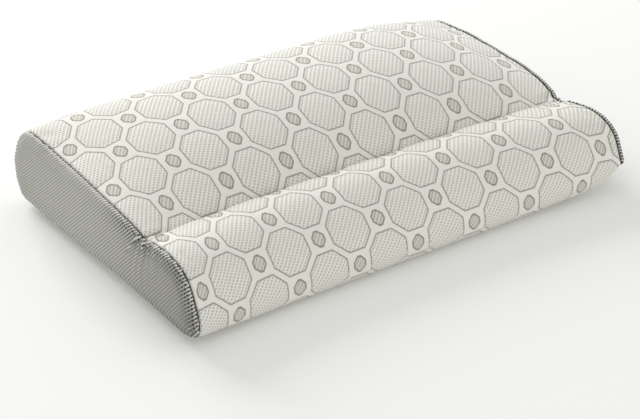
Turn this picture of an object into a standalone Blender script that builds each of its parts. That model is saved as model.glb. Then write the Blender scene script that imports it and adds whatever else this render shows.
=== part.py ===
"""Contour bed pillow: a moulded foam core in a sleeve, inside a zipped knitted cover.

The pillow lies along X. The tall main pad is at the rear (+Y), the low neck roll at the
front (-Y), and a crease runs between them. Z = 0 is the surface that it lies on.
"""
import math

import bmesh
import bpy
from mathutils import Matrix, Vector

MM = 0.001

# ---- driving dimensions -------------------------------------------------------------
SEAM_HALF = 295 * MM          # middle of the pillow to each end seam
CROWN_START = 0.2             # share of the half length that has the middle's section
CROWN_POWER = 2.5             # how late the section falls to that of the ends
COVER_T = 2.4 * MM            # knitted cover with its thin wadding
PANEL_T = 3.0 * MM            # spacer-mesh end panel
PANEL_BULGE = 11 * MM         # how far an end panel is crowned outwards
SLEEVE_T = 0.8 * MM           # stockinette sleeve
TAPE_T = 0.8 * MM             # crease tape
BINDING_T = 1.2 * MM          # overlocked seam allowance
BINDING_W = 6.0 * MM
GAP = 0.3 * MM                # between pieces that touch on the real pillow

# Outline of the cover, in millimetres (Y, Z), at the middle and at the end seams.
# Each pad list runs from above the zip, over the top, to the crease, and each roll
# list from the crease, over the neck roll, to the underside.
PAD_MID = [(197.5, 47), (194.5, 73), (180.5, 99), (155.5, 115), (121.5, 125), (83.5, 128),
           (41.5, 125), (-2.5, 115), (-32.5, 102.5), (-54.5, 89.5), (-67.5, 80), (-73.5, 75.5)]
PAD_END = [(197.5, 47), (191, 67), (177.5, 87), (159.5, 98), (122.5, 100), (82.5, 99),
           (42.5, 97.5), (2.5, 94), (-29.5, 90), (-56.5, 85), (-78.5, 79), (-89.5, 76)]
ROLL_MID = [(-73.5, 75.5), (-81.5, 80), (-98.5, 84.5), (-118.5, 83.5), (-138.5, 77),
            (-159.5, 65.5), (-176.5, 50), (-188.5, 34), (-192.5, 19), (-186.5, 5.5), (-172, 0)]
ROLL_END = [(-89.5, 76), (-98.5, 80), (-114.5, 83.5), (-136.5, 85), (-158.5, 82.5),
            (-177.5, 72), (-190.5, 51), (-196.6, 34), (-196.6, 21), (-189.5, 10), (-172, 5.5)]
FLAT_MID = [(-60, 0), (60, 0), (168, 0), (179, 2)]
FLAT_END = [(-60, 5), (60, 5), (168, 5), (179, 6)]
RINGS_X = [0, 59, 130, 200, 245, 270, 285]    # outline places from the middle, both ways
SPINE_LOW, SPINE_HIGH = (-148, 44), (150, 50)  # middle line of an end, (Y, Z)
SLOT_CELL = 5                 # the zip's slot lies between outline points 5 and 6

# How far the rings of an end are drawn in towards its middle line.
PANEL_SHARES = (0.07, 0.2, 0.45, 0.75)
END_ROUNDING = 0.12           # sleeve and core
SLEEVE_LAP = 0.42             # the sleeve's open end, turned in over the core

# ---- zip ----------------------------------------------------------------------------
ZIP_CENTRE = Vector((191.3, 19.0)) * MM       # (Y, Z) on the cover's outer face
ZIP_LEAN = math.radians(60)                   # the zip's flat strip, up from horizontal
ZIP_STRIP = 11 * MM                           # half height of that strip
ZIP_SLOT = 6 * MM                             # half height of the slot in the cover
ZIP_HALF = 245 * MM                           # half length of the slot
TAPE_EDGE = 9.5 * MM                          # outer edge of each zip tape
TAPE_BEYOND = 2.5 * MM                        # tape past each end of the slot
COIL_SHORT = 4.5 * MM                         # coil row stops before each end of the slot
CHAIN_GAP = 0.8 * MM                          # middle of the zip to each coil row
COIL_W = 2.4 * MM
COIL_T = 2.0 * MM
ZIP_TAPE_T = 0.6 * MM
STOP_L = 3.0 * MM
STOP_PROUD = 0.4 * MM                         # bar tack above the coil rows
STOP_WIDER = 0.2 * MM                         # and past their outer edges
SLIDER_L = 11 * MM
SLIDER_HALF = 4.5 * MM
SLIDER_PLATE_T = 1.2 * MM
SLIDER_WEB_CLEAR = 0.4 * MM                   # slider's web to each coil row
SLIDER_REST_X = 234 * MM
BRIDGE_L = 6.0 * MM
BRIDGE_W = 1.2 * MM
BRIDGE_T = 0.7 * MM
BRIDGE_LEG = 1.2 * MM
BRIDGE_CORNER = 0.8 * MM
BRIDGE_SUNK = 0.3 * MM                        # its feet go into the top plate
PIVOT_CLEAR = 1.0 * MM                        # pull's axis to the plate, and to the bridge
PULL_L = 21 * MM
PULL_W = 6.0 * MM
PULL_T = 0.9 * MM
PULL_EYE_L = 3.55 * MM
PULL_EYE_W = 2.6 * MM
PULL_EYE_SIDE = 0.9 * MM
PULL_NECK = (6 * MM, 8 * MM)                  # where it widens from the eye to the tab
PULL_CORNER = 1.5 * MM

# ---- values that follow from them ----------------------------------------------------
SLEEVE_GAP = COVER_T + GAP
CREASE_GAP = SLEEVE_GAP + TAPE_T + GAP        # deeper where the crease tape lies
ZIP_GAP = SLEEVE_GAP + 2.7 * MM               # deeper again behind the slider
SLEEVE_HALF = SEAM_HALF - 9.5 * MM            # where the sleeve's ends start to round in
SLEEVE_END = SEAM_HALF - 4.5 * MM
CREASE_TAPE_HALF = SEAM_HALF - 11 * MM
ALONG = Vector((math.cos(ZIP_LEAN), math.sin(ZIP_LEAN)))      # up the zip strip, in (Y, Z)
OUT = Vector((math.sin(ZIP_LEAN), -math.cos(ZIP_LEAN)))       # out of the zip strip
TAPE_TOP = -(COVER_T + GAP)                   # heights along OUT, 0 is the cover's face
COIL_TOP = TAPE_TOP + GAP + COIL_T
PLATE_LOW = COIL_TOP + GAP
PLATE_TOP = PLATE_LOW + SLIDER_PLATE_T
PIVOT = PLATE_TOP + PIVOT_CLEAR
DEPTHS = {"plain": SLEEVE_GAP, "crease": CREASE_GAP, "zip": ZIP_GAP}   # to the sleeve
SPINE = (Vector(SPINE_LOW) * MM, Vector(SPINE_HIGH) * MM)


def crown(x):
    """0 in the middle of the pillow, 1 at an end seam."""
    t = abs(x) / SEAM_HALF
    return max(0.0, (t - CROWN_START) / (1 - CROWN_START)) ** CROWN_POWER


def turned_up(x):
    """0 over the zip's length, 1 at an end seam."""
    t = (abs(x) - ZIP_HALF) / (SEAM_HALF - ZIP_HALF)
    t = min(1.0, max(0.0, t))
    return t * t * (3 - 2 * t)


def blend(mid, end, share):
    return [Vector(m).lerp(Vector(e), share) * MM for m, e in zip(mid, end)]


def smooth(points):
    """The points with one more between each two, on a curve through them all."""
    out = [points[0]]
    for i in range(len(points) - 1):
        before = points[max(i - 1, 0)]
        after = points[min(i + 2, len(points) - 1)]
        middle = (points[i] + points[i + 1]) * 0.5625 - (before + after) * 0.0625
        out.append(middle)
        out.append(points[i + 1])
    return out


def section(x):
    """The cover's outline at x, clockwise seen along +X, with each point's role."""
    flat = blend(FLAT_MID, FLAT_END, crown(x))
    rear = blend(FLAT_MID[3:], FLAT_END[3:], turned_up(x))
    strip = [ZIP_CENTRE + ALONG * d for d in (-ZIP_STRIP, -ZIP_SLOT, ZIP_SLOT, ZIP_STRIP)]
    pad = smooth(blend(PAD_MID, PAD_END, crown(x)))
    roll = smooth(blend(ROLL_MID, ROLL_END, crown(x)))
    points = flat[:3] + rear + strip + pad + roll[1:]
    crease = 3 + 1 + 4 + len(pad) - 1
    roles = ["plain"] * len(points)
    for i in range(4, 8):
        roles[i] = "zip"
    for i in range(crease - 2, crease + 3):
        roles[i] = "crease"
    return points, roles


def inset(points, depths):
    """The closed outline moved inwards by each point's depth, square to its edges."""
    count = len(points)
    out = []
    for i, point in enumerate(points):
        before = (point - points[i - 1]).normalized()
        after = (points[(i + 1) % count] - point).normalized()
        mid = (Vector((-before.y, before.x)) + Vector((-after.y, after.x))).normalized()
        square = Vector((-after.y, after.x)).dot(mid)
        out.append(point + mid * (depths[i] / square))
    return out


def level_ring(x, depth):
    """A ring at x, everywhere the same depth under the cover's face."""
    points, _ = section(x)
    return x, inset(points, [depth] * len(points))


def inner_ring(x, extra):
    """A ring of the sleeve or the core, clear of the crease tape and the zip."""
    points, roles = section(x)
    return x, inset(points, [DEPTHS[role] + extra for role in roles])


def gathered_ring(ring, share, x):
    """The ring drawn in towards the middle line of the end by a share of the way."""
    start, stop = SPINE
    line = stop - start
    out = []
    for point in ring[1]:
        t = min(1.0, max(0.0, (point - start).dot(line) / line.length_squared))
        out.append(point.lerp(start + line * t, share))
    return x, out


def stations(limit):
    """Ring places from end to end, inside the limit."""
    half = [x * MM for x in RINGS_X if x * MM < limit - 1 * MM] + [limit]
    return [-x for x in reversed(half[1:])] + half


def ring_verts(bm, ring):
    x, points = ring
    return [bm.verts.new((x, p.x, p.y)) for p in points]


def finish(bm, name, material, location=(0, 0, 0)):
    """The mesh as an object, with its faces out and its own origin at the location."""
    bmesh.ops.recalc_face_normals(bm, faces=bm.faces)
    if bm.calc_volume(signed=True) < 0:
        bmesh.ops.reverse_faces(bm, faces=bm.faces)
    bmesh.ops.translate(bm, vec=-Vector(location), verts=bm.verts)
    mesh = bpy.data.meshes.new(name)
    bm.to_mesh(mesh)
    bm.free()
    mesh.materials.append(material)
    obj = bpy.data.objects.new(name, mesh)
    obj.location = location
    bpy.context.scene.collection.objects.link(obj)
    return obj


def skin(name, outer, inner, material, slot=None):
    """A closed wall between outer and inner rings, with an optional slot through it.

    slot is (cell of the outline, first x, last x).
    """
    bm = bmesh.new()
    out = [ring_verts(bm, ring) for ring in outer]
    back = [ring_verts(bm, ring) for ring in inner]
    count = len(out[0])
    last = len(out) - 1
    open_cells = set()
    if slot:
        cell, low, high = slot
        for k in range(last):
            middle = (outer[k][0] + outer[k + 1][0]) / 2
            if low < middle < high:
                open_cells.add((k, cell))
    for k in range(last):
        for i in range(count):
            j = (i + 1) % count
            if (k, i) in open_cells:
                if (k, i - 1) not in open_cells:
                    bm.faces.new((out[k][i], out[k + 1][i], back[k + 1][i], back[k][i]))
                if (k, j) not in open_cells:
                    bm.faces.new((out[k][j], out[k + 1][j], back[k + 1][j], back[k][j]))
                if (k - 1, i) not in open_cells:
                    bm.faces.new((out[k][i], out[k][j], back[k][j], back[k][i]))
                if (k + 1, i) not in open_cells:
                    bm.faces.new((out[k + 1][i], out[k + 1][j], back[k + 1][j], back[k + 1][i]))
                continue
            bm.faces.new((out[k][i], out[k][j], out[k + 1][j], out[k + 1][i]))
            bm.faces.new((back[k][i], back[k][j], back[k + 1][j], back[k + 1][i]))
    for k in (0, last):
        for i in range(count):
            j = (i + 1) % count
            bm.faces.new((out[k][i], out[k][j], back[k][j], back[k][i]))
    return finish(bm, name, material)


def loaf(name, rings, material):
    """A solid through the rings, closed by a flat face at each end."""
    bm = bmesh.new()
    rows = [ring_verts(bm, ring) for ring in rings]
    count = len(rows[0])
    for k in range(len(rows) - 1):
        for i in range(count):
            j = (i + 1) % count
            bm.faces.new((rows[k][i], rows[k][j], rows[k + 1][j], rows[k + 1][i]))
    bm.faces.new(rows[0])
    bm.faces.new(rows[-1])
    return finish(bm, name, material)


def paint(name, colour, roughness, metallic=0.0):
    material = bpy.data.materials.new(name)
    material.use_nodes = True
    shader = material.node_tree.nodes["Principled BSDF"]
    shader.inputs["Base Color"].default_value = (*colour, 1)
    shader.inputs["Roughness"].default_value = roughness
    shader.inputs["Metallic"].default_value = metallic
    return material


def make_cover():
    knit = paint("jacquard_knit", (0.83, 0.82, 0.78), 0.85)
    xs = stations(SEAM_HALF)
    outer = [level_ring(x, 0) for x in xs]
    inner = [level_ring(x, COVER_T) for x in xs]
    skin("cover_wrap", outer, inner, knit, (SLOT_CELL, -ZIP_HALF, ZIP_HALF))


def make_end_panel(name, side, mesh_cloth):
    """A shallow dome of spacer mesh over one open end of the cover."""
    rim = section(SEAM_HALF)[0]
    start = SEAM_HALF + GAP
    outer = [(side * start, rim)]
    inner = [(side * start, inset(rim, [COVER_T] * len(rim)))]
    for share in PANEL_SHARES:
        rise = PANEL_BULGE * (1 - (1 - share) ** 4)
        x = side * (start + rise)
        outer.append(gathered_ring(outer[0], share, x))
        back = max(rise - PANEL_T, 0.3 * rise * share)
        inner.append(gathered_ring(inner[0], share, side * (start + back)))
    bm = bmesh.new()
    front = [ring_verts(bm, ring) for ring in outer]
    rear = [ring_verts(bm, ring) for ring in inner]
    count = len(rim)
    for rows in (front, rear):
        for k in range(len(rows) - 1):
            for i in range(count):
                j = (i + 1) % count
                bm.faces.new((rows[k][i], rows[k][j], rows[k + 1][j], rows[k + 1][i]))
        bm.faces.new(rows[-1])
    for i in range(count):
        j = (i + 1) % count
        bm.faces.new((front[0][i], front[0][j], rear[0][j], rear[0][i]))
    finish(bm, name, mesh_cloth)


def make_seam_binding(name, side, thread):
    """The overlocked seam allowance, turned in behind an end seam."""
    far = side * (SEAM_HALF - 0.5 * MM)
    near = far - side * BINDING_W
    depth = COVER_T + GAP
    outer = [level_ring(near, depth), level_ring(far, depth)]
    inner = [level_ring(near, depth + BINDING_T), level_ring(far, depth + BINDING_T)]
    skin(name, outer, inner, thread)


def make_crease_tape():
    """The tape inside the cover that draws it down into the crease."""
    webbing = paint("twill_tape", (0.75, 0.74, 0.70), 0.8)
    bm = bmesh.new()
    rows = []
    for x in stations(CREASE_TAPE_HALF):
        points, roles = section(x)
        span = [i for i, role in enumerate(roles) if role == "crease"]
        span = span[1:-1]
        upper = inset(points, [COVER_T + GAP] * len(points))
        lower = inset(points, [COVER_T + GAP + TAPE_T] * len(points))
        loop = [upper[i] for i in span] + [lower[i] for i in reversed(span)]
        rows.append(ring_verts(bm, (x, loop)))
    count = len(rows[0])
    for k in range(len(rows) - 1):
        for i in range(count):
            j = (i + 1) % count
            bm.faces.new((rows[k][i], rows[k][j], rows[k + 1][j], rows[k + 1][i]))
    half = count // 2
    for row in (rows[0], rows[-1]):
        for i in range(half - 1):
            bm.faces.new((row[i], row[i + 1], row[count - 2 - i], row[count - 1 - i]))
    finish(bm, "crease_tape", webbing)


def make_sleeve():
    """The stockinette sleeve on the core, its open ends turned in over the core's ends."""
    stockinette = paint("stockinette", (0.86, 0.85, 0.82), 0.9)
    layers = []
    for extra in (0, SLEEVE_T):
        reach = SLEEVE_HALF - extra
        end = SLEEVE_END - extra
        rings = [inner_ring(x, extra) for x in stations(reach)]
        left = rings[0]
        right = rings[-1]
        for share in (END_ROUNDING, SLEEVE_LAP):
            rings.insert(0, gathered_ring(left, share, -end))
            rings.append(gathered_ring(right, share, end))
        layers.append(rings)
    skin("core_sleeve", layers[0], layers[1], stockinette)


def make_core():
    """The moulded foam core, with its neck roll and main pad in one piece."""
    foam = paint("viscoelastic_foam", (0.87, 0.84, 0.74), 0.95)
    extra = SLEEVE_T + GAP
    reach = SLEEVE_HALF - extra
    end = SLEEVE_END - extra
    rings = [inner_ring(x, extra) for x in stations(reach)]
    left = gathered_ring(rings[0], END_ROUNDING, -end)
    right = gathered_ring(rings[-1], END_ROUNDING, end)
    loaf("foam_core", [left] + rings + [right], foam)


def zip_point(x, along, out):
    """A place on the zip: x, up the strip and out of it, as a world point."""
    flat = ZIP_CENTRE + ALONG * along + OUT * out
    return Vector((x, flat.x, flat.y))


def bar(bm, x, along, out):
    """A straight bar on the zip, between pairs of limits."""
    ends = []
    for end in x:
        corners = ((along[0], out[0]), (along[1], out[0]), (along[1], out[1]), (along[0], out[1]))
        ends.append([bm.verts.new(zip_point(end, a, o)) for a, o in corners])
    first, second = ends
    for i in range(4):
        j = (i + 1) % 4
        bm.faces.new((first[i], first[j], second[j], second[i]))
    bm.faces.new(first)
    bm.faces.new(second)


def prism(bm, outline, place, depth):
    """The outline, placed by place(a, b, d), drawn from d = -depth to d = depth."""
    low = [bm.verts.new(place(a, b, -depth)) for a, b in outline]
    high = [bm.verts.new(place(a, b, depth)) for a, b in outline]
    count = len(outline)
    for i in range(count):
        j = (i + 1) % count
        bm.faces.new((low[i], low[j], high[j], high[i]))
    bm.faces.new(low)
    bm.faces.new(high)


def make_zip_chain():
    """Two tapes, two coil rows and the bar tacks that end them."""
    tape_cloth = paint("zip_tape", (0.80, 0.79, 0.76), 0.8)
    nylon = paint("zip_coil", (0.82, 0.81, 0.78), 0.4)
    tack = paint("bar_tack", (0.78, 0.77, 0.74), 0.7)
    reach = ZIP_HALF + TAPE_BEYOND
    coil_reach = ZIP_HALF - COIL_SHORT
    for name, side in (("upper", 1), ("lower", -1)):
        bm = bmesh.new()
        bar(bm, (-reach, reach), (side * CHAIN_GAP, side * TAPE_EDGE), (TAPE_TOP - ZIP_TAPE_T, TAPE_TOP))
        finish(bm, "zip_tape_" + name, tape_cloth)
        bm = bmesh.new()
        limits = (side * CHAIN_GAP, side * (CHAIN_GAP + COIL_W))
        bar(bm, (-coil_reach, coil_reach), limits, (TAPE_TOP + GAP, COIL_TOP))
        finish(bm, "zip_coil_" + name, nylon)
    for name, side in (("left", -1), ("right", 1)):
        bm = bmesh.new()
        near = side * (coil_reach + GAP)
        width = CHAIN_GAP + COIL_W + STOP_WIDER
        heights = (TAPE_TOP + GAP, COIL_TOP + STOP_PROUD)
        bar(bm, (near, near + side * STOP_L), (-width, width), heights)
        finish(bm, "zip_stop_" + name, tack)


def axis_empty(name, location, parent=None):
    empty = bpy.data.objects.new(name, None)
    empty.location = location
    bpy.context.scene.collection.objects.link(empty)
    if parent:
        empty.parent = parent
        empty.matrix_parent_inverse = Matrix.Translation(-Vector(parent.location))
    return empty


def hang_on(obj, empty):
    obj.parent = empty
    obj.matrix_parent_inverse = Matrix.Translation(-Vector(empty.location))


def make_slider():
    """The slider: two plates on a web between the coil rows, with a bridge for the pull."""
    die_cast = paint("slider_metal", (0.62, 0.62, 0.60), 0.35, 0.9)
    web = CHAIN_GAP - SLIDER_WEB_CLEAR
    inner = CHAIN_GAP + COIL_W + GAP
    bottom_top = TAPE_TOP - ZIP_TAPE_T - GAP
    bottom_low = bottom_top - SLIDER_PLATE_T
    flange_low = TAPE_TOP + GAP
    half = SLIDER_HALF
    outline = [(-half, PLATE_TOP), (half, PLATE_TOP), (half, flange_low), (inner, flange_low),
               (inner, PLATE_LOW), (web, PLATE_LOW), (web, bottom_top), (half, bottom_top),
               (half, bottom_low), (-half, bottom_low), (-half, bottom_top), (-web, bottom_top),
               (-web, PLATE_LOW), (-inner, PLATE_LOW), (-inner, flange_low), (-half, flange_low)]
    x = SLIDER_REST_X
    bm = bmesh.new()
    prism(bm, outline, lambda a, b, d: zip_point(x + d, a, b), SLIDER_L / 2)
    slider = finish(bm, "zip_slider", die_cast, zip_point(x, 0, 0))

    reach = BRIDGE_L / 2
    foot = reach - BRIDGE_LEG
    shoulder = reach - BRIDGE_CORNER
    clear = PIVOT + PIVOT_CLEAR
    top = clear + BRIDGE_T
    root = PLATE_TOP - BRIDGE_SUNK
    arch = [(-reach, root), (-reach, clear), (-shoulder, top), (shoulder, top), (reach, clear),
            (reach, root), (foot, root), (foot, clear), (-foot, clear), (-foot, root)]
    bm = bmesh.new()
    prism(bm, arch, lambda a, b, d: zip_point(x + a, d, b), BRIDGE_W / 2)
    bridge = finish(bm, "bridge_block", die_cast, zip_point(x, 0, 0))
    bridge.hide_render = True
    bridge.display_type = "WIRE"
    join = slider.modifiers.new("bridge", "BOOLEAN")
    join.operation = "UNION"
    join.object = bridge

    axis = axis_empty("zip_slide_axis", zip_point(x, 0, 0))
    hang_on(slider, axis)
    hang_on(bridge, axis)
    return axis


def make_pull(slide_axis):
    """The flat pull tab. Its eye's bar passes under the slider's bridge."""
    lacquer = paint("pull_metal", (0.60, 0.60, 0.58), 0.35, 0.9)
    x = SLIDER_REST_X
    edge = PULL_T / 2
    wide = PULL_W / 2
    eye = PULL_EYE_W / 2
    narrow = eye + PULL_EYE_SIDE
    neck, shoulder = PULL_NECK
    corner = PULL_CORNER
    far = PULL_L
    outer = [(edge, -narrow), (edge, narrow), (-neck, narrow), (-shoulder, wide),
             (-far + corner, wide), (-far, wide - corner), (-far, corner - wide),
             (-far + corner, -wide), (-shoulder, -wide), (-neck, -narrow)]
    hole = [(-edge, -eye), (-edge, eye), (-edge - PULL_EYE_L, eye), (-edge - PULL_EYE_L, -eye)]
    bm = bmesh.new()
    prism(bm, outer, lambda a, b, d: zip_point(x + a, b, PIVOT + d), PULL_T / 2)
    pull = finish(bm, "zip_pull", lacquer, zip_point(x, 0, PIVOT))
    bm = bmesh.new()
    prism(bm, hole, lambda a, b, d: zip_point(x + a, b, PIVOT + d), PULL_T)
    cutter = finish(bm, "eye_cutter", lacquer, zip_point(x, 0, PIVOT))
    cutter.hide_render = True
    cutter.display_type = "WIRE"
    cut = pull.modifiers.new("eye", "BOOLEAN")
    cut.operation = "DIFFERENCE"
    cut.object = cutter

    axis = axis_empty("pull_axis", zip_point(x, 0, PIVOT), slide_axis)
    axis_at = Matrix.Translation(-zip_point(x, 0, PIVOT))
    for obj in (pull, cutter):
        obj.parent = axis
        obj.matrix_parent_inverse = axis_at


def main():
    for obj in list(bpy.data.objects):
        bpy.data.objects.remove(obj, do_unlink=True)
    mesh_cloth = paint("spacer_mesh", (0.33, 0.33, 0.30), 0.8)
    thread = paint("overlock_thread", (0.70, 0.69, 0.66), 0.8)
    make_cover()
    for name, side in (("left", -1), ("right", 1)):
        make_end_panel("end_panel_" + name, side, mesh_cloth)
        make_seam_binding("seam_binding_" + name, side, thread)
    make_crease_tape()
    make_sleeve()
    make_core()
    make_zip_chain()
    slide_axis = make_slider()
    make_pull(slide_axis)


main()
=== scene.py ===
from math import cos, radians, sin

import bmesh
import bpy
import numpy as np
from mathutils import Matrix


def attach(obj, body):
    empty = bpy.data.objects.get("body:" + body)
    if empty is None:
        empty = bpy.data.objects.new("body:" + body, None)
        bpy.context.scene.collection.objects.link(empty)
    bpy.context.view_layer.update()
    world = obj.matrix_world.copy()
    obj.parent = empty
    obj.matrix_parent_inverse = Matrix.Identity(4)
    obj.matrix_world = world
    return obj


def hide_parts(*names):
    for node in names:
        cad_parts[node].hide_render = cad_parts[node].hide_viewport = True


# A contour pillow: a knitted zip cover with a mesh panel at each end, round a foam core.
# Sizes are in millimetres until a mesh is made. Y is the depth, +Y the rear, and X the length.

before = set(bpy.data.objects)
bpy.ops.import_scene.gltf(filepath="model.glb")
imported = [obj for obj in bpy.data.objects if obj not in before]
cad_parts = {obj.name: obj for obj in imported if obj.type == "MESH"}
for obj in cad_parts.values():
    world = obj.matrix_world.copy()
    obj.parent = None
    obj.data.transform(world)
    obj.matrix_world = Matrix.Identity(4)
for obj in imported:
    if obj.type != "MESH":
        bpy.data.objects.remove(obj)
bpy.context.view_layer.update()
mm = 0.001


def linear(hexColour):
    values = [int(hexColour[at:at + 2], 16) / 255 for at in (1, 3, 5)]
    return [v / 12.92 if v <= 0.04045 else ((v + 0.055) / 1.055) ** 2.4 for v in values] + [1.0]


def addNode(tree, kind, settings=None, links=None):
    node = tree.nodes.new(kind)
    for name, value in (settings or {}).items():
        setattr(node, name, value)
    for name, value in (links or {}).items():
        if isinstance(value, bpy.types.NodeSocket):
            tree.links.new(value, node.inputs[name])
        else:
            node.inputs[name].default_value = value
    return node


def newMaterial(name, shader):
    material = bpy.data.materials.new(name)
    material.use_nodes = True
    material.node_tree.nodes.clear()
    out = addNode(material.node_tree, "ShaderNodeOutputMaterial")
    bsdf = addNode(material.node_tree, "ShaderNodeBsdfPrincipled", None, shader)
    material.node_tree.links.new(bsdf.outputs["BSDF"], out.inputs["Surface"])
    return material, material.node_tree, bsdf


def mottled(tree, scale, dark, light, detail=2.0):
    # an uneven tone between two colours: the place on the piece, the noise there and the colour
    cloud = addNode(tree, "ShaderNodeTexCoord").outputs["Object"]
    noise = addNode(tree, "ShaderNodeTexNoise", None, {"Vector": cloud, "Scale": scale, "Detail": detail})
    colour = addNode(tree, "ShaderNodeMix", {"data_type": "RGBA"},
                     {0: noise.outputs["Fac"], 6: linear(dark), 7: linear(light)})
    return cloud, noise.outputs["Fac"], colour.outputs[2]


def addPattern(tree, made, steps, masks, products):
    # sums in turn, then soft masks (value, where it starts, where it is full), then masks of masks
    for name, operation, a, b in steps:
        made[name] = addNode(tree, "ShaderNodeMath", {"operation": operation},
                             {0: made.get(a, a), 1: made.get(b, b)}).outputs[0]
    for name, value, start, full in masks:
        made[name] = addNode(tree, "ShaderNodeMapRange", {"interpolation_type": "SMOOTHSTEP"},
                             {"Value": made[value], "From Min": start, "From Max": full}).outputs[0]
    for name, a, b in products:
        made[name] = addNode(tree, "ShaderNodeMath", {"operation": "MULTIPLY"},
                             {0: made[a], 1: made[b]}).outputs[0]


def tinted(tree, made, colour, layers):
    # lays each tint over the colour, where its mask is
    for mask, strength, tint in layers:
        amount = addNode(tree, "ShaderNodeMath", {"operation": "MULTIPLY"}, {0: made[mask], 1: strength})
        colour = addNode(tree, "ShaderNodeMix", {"data_type": "RGBA"},
                         {0: amount.outputs[0], 6: colour, 7: linear(tint)}).outputs[2]
    return colour


def softStep(value, low, high):
    share = np.clip((np.asarray(value, float) - low) / (high - low), 0, 1)
    return share * share * (3 - 2 * share)


# Camera, floor and light

camera = {"stand": (-1.1840, -1.6776, 1.1407), "tilt": 60.5, "turn": -35.1, "lens": 112.5,
          "sensor": 36.0}
cameraData = bpy.data.cameras.new("camera")
cameraData.lens = camera["lens"]
cameraData.sensor_width = camera["sensor"]
cameraObject = bpy.data.objects.new("camera", cameraData)
cameraObject.location = camera["stand"]
cameraObject.rotation_euler = (radians(camera["tilt"]), 0, radians(camera["turn"]))
bpy.context.collection.objects.link(cameraObject)
bpy.context.scene.camera = cameraObject

studio = {
    "world": 0.76,
    # name: where it stands, point it looks at, size, watts
    "lamps": {"keyRear": ((-0.1, 3.2, 1.55), (0.0, 0.0, 0.0), 1.8, 92.0),
              "fillLeft": ((-2.4, -1.0, 1.3), (0.0, 0.0, 0.05), 1.6, 3.0),
              "lowRight": ((1.3, -2.2, 0.3), (0.05, -0.1, 0.03), 0.5, 4.5)},
    "tableGlow": 0.08,
    "floorHalf": 6.0,
    "floorDrop": 0.0006,
}
world = bpy.data.worlds.new("studio")
world.use_nodes = True
world.node_tree.nodes.clear()
sky = addNode(world.node_tree, "ShaderNodeBackground", None,
              {"Color": linear("#ffffff"), "Strength": studio["world"]})
addNode(world.node_tree, "ShaderNodeOutputWorld", None, {"Surface": sky.outputs[0]})
bpy.context.scene.world = world
bpy.context.scene.view_settings.view_transform = "Standard"
for name, (stand, target, size, watts) in studio["lamps"].items():
    lampData = bpy.data.lights.new(name, "AREA")
    lampData.size = size
    lampData.energy = watts
    lamp = bpy.data.objects.new(name, lampData)
    lamp.location = stand
    aim = np.array(target) - np.array(stand)
    lamp.rotation_euler = (np.arctan2(np.hypot(aim[0], aim[1]), -aim[2]), 0,
                           np.arctan2(-aim[0], aim[1]))
    bpy.context.collection.objects.link(lamp)

# opal acrylic table lit from below: even white, with only a pale soft shadow on it
floorPaint, tree, bsdf = newMaterial("lit_opal_acrylic", {
    "Base Color": linear("#eaeae8"), "Roughness": 0.9, "Specular IOR Level": 0.1,
    "Emission Color": linear("#fffffa"), "Emission Strength": studio["tableGlow"]})
half, drop = studio["floorHalf"], -studio["floorDrop"]
floorMesh = bpy.data.meshes.new("floor")
floorMesh.from_pydata([(-half, -half, drop), (half, -half, drop), (half, half, drop), (-half, half, drop)],
                      [], [(0, 1, 2, 3)])
floorMesh.materials.append(floorPaint)
floor = bpy.data.objects.new("floor", floorMesh)
bpy.context.collection.objects.link(floor)
print("camera, floor and lamps ready")


# The pillow's form: a section across the depth at the middle and one at the ends, (Y, Z) points

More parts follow.
